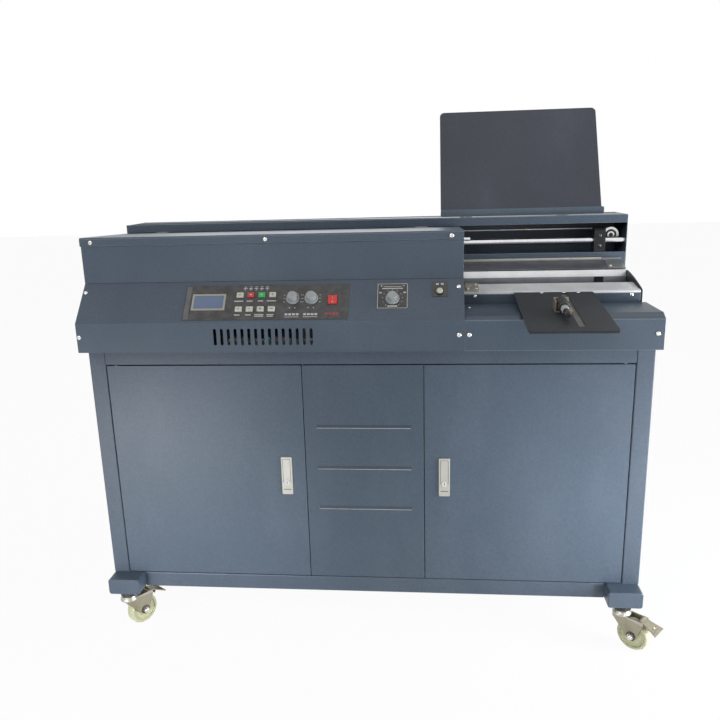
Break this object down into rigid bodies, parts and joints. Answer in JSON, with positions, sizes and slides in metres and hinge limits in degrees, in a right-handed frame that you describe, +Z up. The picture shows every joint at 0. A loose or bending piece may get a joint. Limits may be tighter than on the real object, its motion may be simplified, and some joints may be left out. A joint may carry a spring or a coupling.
{
  "type": "perfect binding machine",
  "caption": "Floor-standing perfect binding machine on swivel casters, with a cabinet, a sloping control console, a hinged hood over its milling and gluing units, and a nipping station.",
  "frame": {"origin": "on the floor, below the middle of the machine's outline", "axes": "+X to the operator's right, +Y away from the operator, +Z up"},
  "size_m": [1.3741, 0.6138, 1.267],
  "materials": {
    "body_paint": "satin powder coat, blue-grey",
    "stand_paint": "satin powder coat, dark grey",
    "black_paint": "satin black",
    "table_paint": "matt dark grey",
    "motor_paint": "satin grey",
    "bare_sheet": "zinc-plated sheet",
    "beige_paint": "satin beige",
    "latch_metal": "satin nickel plated",
    "bright_steel": "ground",
    "zinc_steel": "zinc plated",
    "aluminium": "satin",
    "cast_alloy": "as cast",
    "overlay": "satin printed film",
    "dial_plastic": "mid-grey plastic",
    "display_window": "clear window over a display",
    "black_plastic": "matt",
    "red_plastic": "gloss",
    "start_cap": "gloss cream",
    "white_key": "satin",
    "red_key": "satin",
    "green_key": "satin",
    "belt_rubber": "light grey",
    "nylon": "matt cream nylon"
  },
  "bodies": {
    "stand": {"cabinet_frame": "stand_paint", "cabinet_panels": "body_paint", "inner_panels": "bare_sheet", "centre_panel": "body_paint", "hinge_pins": "bright_steel", "caster_stems": "zinc_steel", "left_console": "body_paint", "right_console": "body_paint", "control_plates": "overlay", "display": "display_window", "rear_housing": "body_paint", "guide_shaft": "bright_steel", "drive_motors": "motor_paint", "glue_tank": "cast_alloy", "nipping_base": "body_paint", "rear_nip_jaw": "aluminium", "end_cheek": "black_paint", "rear_rest_plate": "bright_steel", "cover_table": "table_paint", "drive_belt": "belt_rubber"},
    "left_door": {"left_door": "body_paint", "left_handle": "latch_metal"},
    "right_door": {"right_door": "body_paint", "right_handle": "latch_metal"},
    "left_lock": {"left_lock": "latch_metal"},
    "right_lock": {"right_lock": "latch_metal"},
    "hood": {"hood": "body_paint"},
    "document_rest": {"document_rest": "body_paint"},
    "carriage": {"clamp_carriage": "aluminium"},
    "clamp_jaw": {"clamp_jaw": "aluminium"},
    "drive_pulley": {"drive_pulley": "aluminium"},
    "idler_pulley": {"idler_pulley": "aluminium"},
    "front_nip_jaw": {"front_nip_jaw": "aluminium"},
    "side_stop": {"side_stop": "beige_paint"},
    "stop_screw": {"stop_screw": "black_plastic"},
    "heat_dial": {"heat_dial": "dial_plastic"},
    "glue_dial": {"glue_dial": "dial_plastic"},
    "clamp_dial": {"clamp_dial": "dial_plastic"},
    "power_rocker": {"power_rocker": "red_plastic"},
    "start_button": {"start_button": "start_cap"},
    "milling_cutter": {"milling_cutter": "bright_steel"},
    "glue_roller": {"glue_roller": "bright_steel"},
    "button_1": {"button_1": "white_key"},
    "button_2": {"button_2": "red_key"},
    "button_3": {"button_3": "green_key"},
    "button_4": {"button_4": "white_key"},
    "button_5": {"button_5": "white_key"},
    "button_6": {"button_6": "white_key"},
    "button_7": {"button_7": "white_key"},
    "button_8": {"button_8": "white_key"},
    "fork_front_left": {"fork_front_left": "zinc_steel"},
    "wheel_front_left": {"wheel_front_left": "nylon"},
    "fork_front_right": {"fork_front_right": "zinc_steel"},
    "wheel_front_right": {"wheel_front_right": "nylon"},
    "fork_rear_left": {"fork_rear_left": "zinc_steel"},
    "wheel_rear_left": {"wheel_rear_left": "nylon"},
    "fork_rear_right": {"fork_rear_right": "zinc_steel"},
    "wheel_rear_right": {"wheel_rear_right": "nylon"},
    "pedal_front_left": {"pedal_front_left": "zinc_steel"},
    "pedal_front_right": {"pedal_front_right": "zinc_steel"}
  },
  "joints": [
    {"name": "left_door_hinge", "type": "hinge", "parent": "stand", "child": "left_door", "pos_m": [-0.588, -0.1484, 0.417], "axis": [0, 0, -1], "range_deg": [0, 110]},
    {"name": "right_door_hinge", "type": "hinge", "parent": "stand", "child": "right_door", "pos_m": [0.588, -0.1484, 0.417], "axis": [0, 0, 1], "range_deg": [0, 110]},
    {"name": "left_lock_turn", "type": "hinge", "parent": "left_door", "child": "left_lock", "pos_m": [-0.188, -0.1564, 0.3975], "axis": [0, 1, 0], "range_deg": [0, 90]},
    {"name": "right_lock_turn", "type": "hinge", "parent": "right_door", "child": "right_lock", "pos_m": [0.188, -0.1564, 0.3975], "axis": [0, -1, 0], "range_deg": [0, 90]},
    {"name": "hood_hinge", "type": "hinge", "parent": "stand", "child": "hood", "pos_m": [0, 0.1376, 0.9695], "axis": [-1, 0, 0], "range_deg": [0, 60]},
    {"name": "document_rest_hinge", "type": "hinge", "parent": "stand", "child": "document_rest", "pos_m": [0.3875, 0.1736, 1.005], "axis": [1, 0, 0], "range_deg": [-35, 12]},
    {"name": "carriage_travel", "type": "slide", "parent": "stand", "child": "carriage", "axis": [1, 0, 0], "range_m": [-0.48, 0.375]},
    {"name": "drive_pulley_turn", "type": "hinge", "parent": "stand", "child": "drive_pulley", "pos_m": [-0.6, 0.1886, 0.945], "axis": [0, -1, 0], "range_deg": [-1572.1, 1229.3]},
    {"name": "idler_pulley_turn", "type": "hinge", "parent": "stand", "child": "idler_pulley", "pos_m": [0.621, 0.1886, 0.945], "axis": [0, -1, 0], "range_deg": [-1572.1, 1229.3]},
    {"name": "clamp_closing", "type": "slide", "parent": "carriage", "child": "clamp_jaw", "axis": [0, 1, 0], "range_m": [0, 0.058]},
    {"name": "nipping", "type": "slide", "parent": "stand", "child": "front_nip_jaw", "axis": [0, 1, 0], "range_m": [0, 0.055]},
    {"name": "side_stop_travel", "type": "slide", "parent": "stand", "child": "side_stop", "axis": [0, 0.9893, 0.1461], "range_m": [-0.06, 0.07]},
    {"name": "stop_screw_turn", "type": "hinge", "parent": "side_stop", "child": "stop_screw", "pos_m": [0.438, -0.16898, 0.83193], "axis": [0, 0.9893, 0.1461], "continuous": true},
    {"name": "heat_dial_turn", "type": "hinge", "parent": "stand", "child": "heat_dial", "pos_m": [-0.152, -0.15701, 0.8436], "axis": [0, -0.7509, 0.6604], "range_deg": [-140, 140]},
    {"name": "glue_dial_turn", "type": "hinge", "parent": "stand", "child": "glue_dial", "pos_m": [-0.11, -0.15701, 0.8436], "axis": [0, -0.7509, 0.6604], "range_deg": [-140, 140]},
    {"name": "clamp_dial_turn", "type": "hinge", "parent": "stand", "child": "clamp_dial", "pos_m": [0.0727, -0.159, 0.84134], "axis": [0, -0.7509, 0.6604], "range_deg": [-140, 140]},
    {"name": "power_rocker_tip", "type": "hinge", "parent": "stand", "child": "power_rocker", "pos_m": [-0.0617, -0.1582, 0.83771], "axis": [-1, 0, 0], "range_deg": [0, 12]},
    {"name": "button_1_press", "type": "slide", "parent": "stand", "child": "button_1", "axis": [0, 0.7509, -0.6604], "range_m": [0, 0.0015], "stiffness_N_per_m": 150},
    {"name": "button_2_press", "type": "slide", "parent": "stand", "child": "button_2", "axis": [0, 0.7509, -0.6604], "range_m": [0, 0.0015], "stiffness_N_per_m": 150},
    {"name": "button_3_press", "type": "slide", "parent": "stand", "child": "button_3", "axis": [0, 0.7509, -0.6604], "range_m": [0, 0.0015], "stiffness_N_per_m": 150},
    {"name": "button_4_press", "type": "slide", "parent": "stand", "child": "button_4", "axis": [0, 0.7509, -0.6604], "range_m": [0, 0.0015], "stiffness_N_per_m": 150},
    {"name": "button_5_press", "type": "slide", "parent": "stand", "child": "button_5", "axis": [0, 0.7509, -0.6604], "range_m": [0, 0.0015], "stiffness_N_per_m": 150},
    {"name": "button_6_press", "type": "slide", "parent": "stand", "child": "button_6", "axis": [0, 0.7509, -0.6604], "range_m": [0, 0.0015], "stiffness_N_per_m": 150},
    {"name": "button_7_press", "type": "slide", "parent": "stand", "child": "button_7", "axis": [0, 0.7509, -0.6604], "range_m": [0, 0.0015], "stiffness_N_per_m": 150},
    {"name": "button_8_press", "type": "slide", "parent": "stand", "child": "button_8", "axis": [0, 0.7509, -0.6604], "range_m": [0, 0.0015], "stiffness_N_per_m": 150},
    {"name": "start_button_press", "type": "slide", "parent": "stand", "child": "start_button", "axis": [0, 0.7509, -0.6604], "range_m": [0, 0.002], "stiffness_N_per_m": 150},
    {"name": "swivel_front_left", "type": "hinge", "parent": "stand", "child": "fork_front_left", "pos_m": [-0.61, -0.1744, 0.085], "axis": [0, 0, 1], "continuous": true},
    {"name": "wheel_front_left_roll", "type": "hinge", "parent": "fork_front_left", "child": "wheel_front_left", "pos_m": [-0.59165, -0.14819, 0.0375], "axis": [0.8192, -0.5736, 0], "continuous": true},
    {"name": "pedal_front_left_tip", "type": "hinge", "parent": "fork_front_left", "child": "pedal_front_left", "pos_m": [-0.58132, -0.13344, 0.08], "axis": [0.8192, -0.5736, 0], "range_deg": [-14, 8]},
    {"name": "swivel_front_right", "type": "hinge", "parent": "stand", "child": "fork_front_right", "pos_m": [0.61, -0.1744, 0.085], "axis": [0, 0, 1], "continuous": true},
    {"name": "wheel_front_right_roll", "type": "hinge", "parent": "fork_front_right", "child": "wheel_front_right", "pos_m": [0.63451, -0.19497, 0.0375], "axis": [-0.6428, -0.766, 0], "continuous": true},
    {"name": "pedal_front_right_tip", "type": "hinge", "parent": "fork_front_right", "child": "pedal_front_right", "pos_m": [0.6483, -0.20654, 0.08], "axis": [-0.6428, -0.766, 0], "range_deg": [-14, 8]},
    {"name": "swivel_rear_left", "type": "hinge", "parent": "stand", "child": "fork_rear_left", "pos_m": [-0.61, 0.2816, 0.085], "axis": [0, 0, 1], "continuous": true},
    {"name": "wheel_rear_left_roll", "type": "hinge", "parent": "fork_rear_left", "child": "wheel_rear_left", "pos_m": [-0.642, 0.2816, 0.0375], "axis": [0, 1, 0], "continuous": true},
    {"name": "swivel_rear_right", "type": "hinge", "parent": "stand", "child": "fork_rear_right", "pos_m": [0.61, 0.2816, 0.085], "axis": [0, 0, 1], "continuous": true},
    {"name": "wheel_rear_right_roll", "type": "hinge", "parent": "fork_rear_right", "child": "wheel_rear_right", "pos_m": [0.64007, 0.27065, 0.0375], "axis": [-0.342, -0.9397, 0], "continuous": true},
    {"name": "glue_roller_turn", "type": "hinge", "parent": "stand", "child": "glue_roller", "pos_m": [-0.425, 0.0536, 0.846], "axis": [0, 1, 0], "continuous": true},
    {"name": "milling_cutter_turn", "type": "hinge", "parent": "stand", "child": "milling_cutter", "pos_m": [-0.19, 0.0536, 0.868], "axis": [0, 0, 1], "continuous": true}
  ],
  "couplings": [
    {"joint": "drive_pulley_turn", "follows": "carriage_travel", "rad_per_m": 56.98},
    {"joint": "idler_pulley_turn", "follows": "carriage_travel", "rad_per_m": 56.98}
  ]
}
